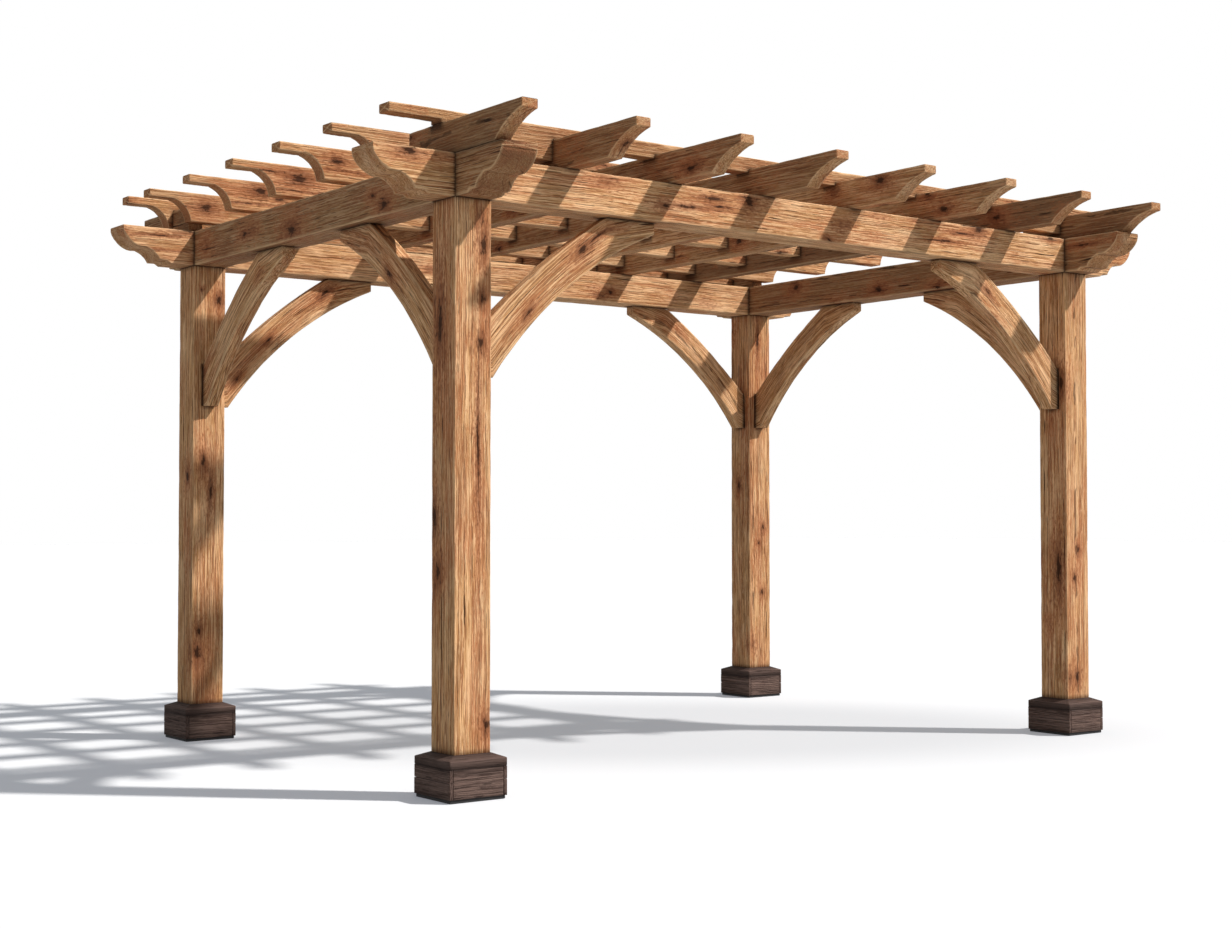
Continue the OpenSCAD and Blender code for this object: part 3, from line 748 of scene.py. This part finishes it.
# %% Beams
LAP, CARVED = 75.5 * MM, 0.21           # half the width of a half lap, and how far in the gouge has worked
# each beam's tone and cut: the short beams, seen on their shaded sides, are darkened as painted shade, the long
# beams, seen lit, are lightened as painted light, and cut is painted light on the carved tails
BEAM_TONES = {"front": (-0.6, 0.6), "back": (-0.6, 0.6), "left": (1.6, 0.0), "right": (1.6, 2.2)}
posts = [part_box("post_front_left"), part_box("post_back_right")]
for number, (side, (tone, cut)) in enumerate(BEAM_TONES.items()):
    low, high = box_of(f"beam_{side}")
    long_side = side in ("front", "back")
    lengthwise = 0 if long_side else 1
    half = (high - low)[lengthwise] / 2
    places = np.array([(p[0][lengthwise] + p[1][lengthwise]) / 2 for p in posts])
    depth = high[2] - low[2]
    tails = both_ends(BEAM_TAIL, half)
    lap = notched(depth if long_side else 0.0, depth / 2, places, LAP, half)
    fine = np.arange(6, 216, 7) * MM - half
    s = spaced(-half, half, RUNG_STEP, np.concatenate([tails[:, 0], lap[:, 0], fine, -fine]))
    s = s[np.r_[True, np.diff(s) > 0.2 * MM]]
    seed = SEEDS["beam"] + number
    under = gouged(s, tails, CARVED, half - np.abs(s), seed)
    over = np.full_like(s, depth)
    if long_side:
        over = np.interp(s, lap[:, 0], lap[:, 1])
    else:
        under = np.maximum(under, np.interp(s, lap[:, 0], lap[:, 1]))
    width = (high - low)[1 - lengthwise]
    skin = carry(np.stack([s, under], 1), np.stack([s, over], 1), width, 5 * MM, seed,
                 tone=tone, cut=cut, pale=0.8)
    middle = (low + high) / 2
    lay(f"hewn_beam_{side}", f"beam_{side}",
        [place(skin, (middle[0], middle[1], low[2]), X if long_side else Y, Z)], oiled_pine)
    print("beam", side, "half length", half.round(4), "rungs", len(s))

# %% [markdown]
# ## Braces
# Eight arched braces stiffen the corners. On the real frame they are sawn from a wide
# plank: a shallow outer curve, a deeper arch below, a nib at the beam and a toe in the
# post's housing. The rungs run from the arch to the outer curve, so the section turns with it.

# %% Braces
# millimetres: how far a brace goes down the post and along the beam, its toe, and how far its curves bulge
DROP, REACHES, TOE, ARCH_BULGE, BOW_BULGE = 620.0, 765.0, 38.0, 68.0, 20.0
arch = arc((TOE, -DROP), (REACHES, -NIB), ARCH_BULGE, 60)
arch = np.concatenate([[(-SUNK, -DROP)], arch]) * MM
bow = arc((0, POST_SEAT - DROP), (REACHES - BEAM_SEAT, 0), BOW_BULGE, 48)
bow = np.concatenate([[(-SUNK, POST_SEAT - DROP - SUNK)], bow, [(REACHES, 0)]]) * MM


def evenly(line, share):
    """Points at the given shares of a line's length."""
    run = run_of(line)
    return np.stack([np.interp(share * run[-1], run, line[:, i]) for i in (0, 1)], 1)


def shares(line, *corners):
    """The shares of a line's length at which the numbered points lie."""
    run = run_of(line)
    return [run[c] / run[-1] for c in corners]


share = spaced(0.0, 1.0, 0.011, shares(arch, 1) + shares(bow, 1, len(bow) - 2))
for number, (corner, (side, end)) in enumerate(CORNERS.items()):
    post_low, post_high = box_of(f"post_{corner}")
    centre = (post_low + post_high) / 2
    face = (post_high - post_low)[0] / 2
    for turn, way in enumerate(("along", "across")):
        low, high = box_of(f"brace_{corner}_{way}")
        thick = (high - low)[1 - turn]
        seed = SEEDS["brace"] + 2 * number + turn
        skin = carry(evenly(arch, share), evenly(bow, share), thick, 4 * MM, seed, bent=True, tone=-0.7)
        inward = np.array([(-side, 0, 0), (0, -end, 0)][turn])
        at = [centre[0], centre[1], high[2]] + inward * face
        lay(f"hewn_brace_{corner}_{way}", f"brace_{corner}_{way}", [place(skin, at, inward, Z)],
            oiled_pine)
print("braces: 8, of", len(share), "rungs,", round(thick, 3), "m thick")

# %% [markdown]
# ## Rafters and purlins
# Six rafters lie across the long beams, and a short one at each corner carries the row of
# tails round it. Seven purlins are notched over the rafters. Rafter tails are hollowed to
# a thin tip; purlin tails are cut back in a cove, but the first one's are straight, and
# between the inner rafters that one is cut to a slim bar.

# %% Rafters
RAFTER_TAIL = arc((0, 86), (164, 0), 15, 22) * MM
RAFTER_CARVED = 0.16
DARKER = (1, 6, 7)                      # the rafters made darker still, as painted shade on their shaded sides


def rafter(node, number, carved_ends):
    """A rafter along Y with one carved end, at the tip nearest to its corner, or with two."""
    low, high = box_of(node)
    width, length, depth = high - low
    seed = SEEDS["rafter"] + number
    back_to_front = carved_ends == 1 and high[1] > 0
    tails = RAFTER_TAIL if carved_ends == 1 else both_ends(RAFTER_TAIL, length / 2) + [length / 2, 0]
    s = spaced(0.0, length, RUNG_STEP, tails[:, 0])
    from_tip = s if carved_ends == 1 else np.minimum(s, length - s)
    under = np.stack([s, gouged(s, tails, RAFTER_CARVED, from_tip, seed)], 1)
    # a high tone darkens the rafters as painted shade under the roof, and cut is painted light on their carved
    # hollows and ends
    skin = carry(under, np.stack([s, np.full_like(s, depth)], 1), width, 4 * MM, seed,
                 tone=2.2 if number in DARKER else 1.7, cut=2.6, pale=0.6)
    at = ((low + high)[0] / 2, high[1] if back_to_front else low[1], low[2])
    lay(f"hewn_{node}", node, [place(skin, at, (0, -1 if back_to_front else 1, 0), Z)], oiled_pine)
    return (low + high)[0] / 2


rafter_at = np.array([rafter(f"rafter_{n}", n, 2) for n in range(1, 7)])
corner_at = np.unique([rafter(f"corner_rafter_{corner}", 7 + n, 1) for n, corner in enumerate(CORNERS)])
print("rafters at", rafter_at.round(3).tolist(), "and at the corners", corner_at.round(3).tolist())

# %% Purlins
TIP_UNDER = 93.0                        # millimetres from the underside of a purlin up to that of its tip
cove = arc((116, TIP_UNDER - 1.5), (192, 0), 18, 22)
PURLIN_TAIL = np.concatenate([[(0, TIP_UNDER), (115.7, TIP_UNDER)], cove]) * MM
PURLIN_CARVED = 0.2
OVER_RAFTER, BAR_UNDER = 80 * MM, 67 * MM       # heights of the notches and of the bar's underside
NOTCH = 33 * MM                         # half the width of a notch
purlin_boxes = [box_of(f"purlin_{n}") for n in range(1, 8)]
purlin_at = np.array([(low + high)[1] / 2 for low, high in purlin_boxes])

for number, (low, high) in enumerate(purlin_boxes):
    half, depth, width = (high - low)[0] / 2, (high - low)[2], (high - low)[1]
    over_corners = number in (0, 6)
    crossed = np.r_[rafter_at, corner_at if over_corners else []]
    edges = [both_ends(PURLIN_TAIL, half), notched(0.0, OVER_RAFTER, crossed, NOTCH, half)]
    if number == 0:
        edges.append(notched(0.0, BAR_UNDER, [0.0], rafter_at.max(), half))
        edges[0] = notched(TIP_UNDER * MM, 0.0, [0.0], corner_at.max() + NOTCH, half)
    fine = np.arange(8, 112, 8) * MM - half
    s = spaced(-half, half, RUNG_STEP, np.concatenate([e[:, 0] for e in edges] + [fine, -fine]))
    s = s[np.r_[True, np.diff(s) > 0.1 * MM]]
    seed = SEEDS["purlin"] + number
    under = gouged(s, edges[0], PURLIN_CARVED, half - np.abs(s), seed)
    for edge in edges[1:]:
        under = np.maximum(under, np.interp(s, edge[:, 0], edge[:, 1]))
    skin = carry(np.stack([s, under], 1), np.stack([s, np.full_like(s, depth)], 1), width, 4.5 * MM, seed, tone=1.1)
    lay(f"hewn_purlin_{number + 1}", f"purlin_{number + 1}",
        [place(skin, (0, purlin_at[number], low[2]), X, Z)], oiled_pine)
print("purlins: 7 at", purlin_at.round(3).tolist())

# %% [markdown]
# ## Bases
# Each post stands in a boxed base of darker, weathered hardwood: boards round the sides,
# a bevelled cap mitred round the post, and a thin rubber pad that keeps the end grain
# off the wet ground. The same finish serves with other colours and hardly any knots.

# %% Base finishes
OAK = {"body": "#6A554D", "red": "#58443D", "pale": "#7F675D", "late": "#48372F", "fibre": "#3E2F2A",
       "vein": "#33261F", "ring": "#3A2A25", "deep": "#33251F", "worn": "#78625A", "check": "#1A1210",
       "knot": "#15100E"}
dark_oak = sawn_wood("weathered_dark_oak", OAK, knot_share=0.15, rough=0.7)

# moulded black rubber: a dull skin, with a fine pebble that takes the shine off
PEBBLE = 6 * MM
pebbled_rubber, tree = new_material("moulded_black_rubber")
here = add(tree, "ShaderNodeTexCoord", {}, out="Object")
pebble = add(tree, "ShaderNodeTexNoise", {"Vector": here, "Scale": 1 / PEBBLE, "Detail": 2.0})
shade = add(tree, "ShaderNodeMix", {0: pebble, 6: linear("#141313"), 7: linear("#232121")}, out=2, data_type="RGBA")
bump = add(tree, "ShaderNodeBump", {"Strength": 0.4, "Distance": 1 * MM, "Height": pebble})
skin = add(tree, "ShaderNodeBsdfPrincipled", {"Base Color": shade, "Roughness": 0.8, "IOR": 1.52, "Normal": bump})
add(tree, "ShaderNodeOutputMaterial", {"Surface": skin})
print("finishes:", dark_oak.name, "and", pebbled_rubber.name)

# %% Base boards and pads
BOARD, JOINT = 15 * MM, 0.6 * MM
LOWER_SHARE = 0.56                      # of the base's height, for the lower of the two boards on a side


def board(length, tall, thick, seed, arris=2.0 * MM):
    """A plain board standing on edge, centred along its length."""
    s = spaced(-length / 2, length / 2, 12 * MM, [])
    lower = np.stack([s, np.zeros_like(s)], 1)
    return carry(lower, lower + [0, tall], thick, arris, seed, hewn=0.7 * MM)


for number, corner in enumerate(CORNERS):
    low, high = box_of(f"skirt_{corner}")
    middle, size = (low + high) / 2, high - low
    tall = LOWER_SHARE * size[2]
    short = size[0] - 2 * BOARD - 2 * JOINT
    skins = []
    for k, way in enumerate((-1, 1)):
        seed = SEEDS["skirt"] + 10 * number + 3 * k
        wall = middle[0] + way * (size[0] - BOARD) / 2
        skins.append(place(board(size[1], tall - JOINT, BOARD, seed), (wall, middle[1], low[2]), Y, Z))
        skins.append(place(board(size[1], size[2] - tall, BOARD, seed + 1), (wall, middle[1], low[2] + tall), Y, Z))
        wall = middle[1] + way * (size[1] - BOARD) / 2
        skins.append(place(board(short, size[2], BOARD, seed + 2), (middle[0], wall, low[2]), X, Z))
    lay(f"boarded_skirt_{corner}", f"skirt_{corner}", skins, dark_oak)
    low, high = box_of(f"pad_{corner}")
    pad = board((high - low)[0], (high - low)[2], (high - low)[1], SEEDS["pad"] + number)
    lay(f"rubber_pad_{corner}", f"pad_{corner}", [place(pad, (*((low + high) / 2)[:2], low[2]), X, Z)],
        pebbled_rubber)
print("skirts:", len(skins), "boards each")

# %% Base caps
CAP_EDGE, PLANED = 28 * MM, 2.2 * MM
MITRE_FROM, MITRE_DRAWN = 0.965, 0.013  # a cap board is drawn in from this share on, by this much at its ends


def mitred(half, neck, edge, top, seed):
    """One of four boards round a square: each point of a profile (out, up) is carried along by a share f of
    its own distance out, from -1 to 1, so that the ends are mitres; near them it is drawn in a little, as a
    planed edge."""
    corners = np.array([(neck, 0), (half, 0), (half, edge), (neck, top)])
    before, after = np.roll(corners, 1, 0) - corners, np.roll(corners, -1, 0) - corners
    before, after = (v / np.hypot(*v.T)[:, None] * PLANED for v in (before, after))
    profile = np.stack([corners + before, corners + 0.27 * (before + after), corners + after], 1).reshape(-1, 2)
    worn = np.tile([0.4, 1.0, 0.4], 4)
    f = np.r_[-1, -0.985, -MITRE_FROM, np.linspace(-0.93, 0.93, 21), MITRE_FROM, 0.985, 1][:, None]
    near_end = np.clip((np.abs(f) - MITRE_FROM) / (1 - MITRE_FROM), 0, 1)
    out = profile[:, 0] * (1 - MITRE_DRAWN * near_end ** 2)
    up = profile[:, 1] + 0 * f
    points = np.stack([f * out, out, up], -1)
    rng = np.random.default_rng(seed)
    grain = points + [LOG_APART * seed, rng.uniform(-0.05, 0.05), rng.uniform(-0.06, 0.06)]
    quads, ends = joined(*up.shape)
    return {"points": points.reshape(-1, 3), "quads": quads, "ends": ends, "grain": grain.reshape(-1, 3),
            "arris": np.tile(worn, len(up)), "end": np.zeros(up.size),
            "tone": np.full(up.size, 2.2 + rng.uniform(-0.15, 0.15))}


for number, corner in enumerate(CORNERS):
    low, high = box_of(f"cap_{corner}")
    middle, size = (low + high) / 2, high - low
    post_low, post_high = box_of(f"post_{corner}")
    neck = (post_high - post_low)[0] / 2 + JOINT
    skins = []
    for k, facing in enumerate(((1, 0, 0), (0, 1, 0), (-1, 0, 0), (0, -1, 0))):
        skin = mitred(size[0] / 2, neck, CAP_EDGE, size[2], SEEDS["cap"] + 4 * number + k)
        skins.append(place(skin, (middle[0], middle[1], low[2]), np.cross(facing, Z), Z))
    lay(f"mitred_cap_{corner}", f"cap_{corner}", skins, dark_oak)
print("caps:", size.round(3).tolist())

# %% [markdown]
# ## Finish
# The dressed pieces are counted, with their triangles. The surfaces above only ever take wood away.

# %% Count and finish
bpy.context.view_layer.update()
pieces = [o for o in bpy.data.objects if o.type == "MESH" and "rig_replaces" in o]
print("pieces:", len(pieces), "triangles:", sum(len(o.data.loops) - 2 * len(o.data.polygons) for o in pieces))
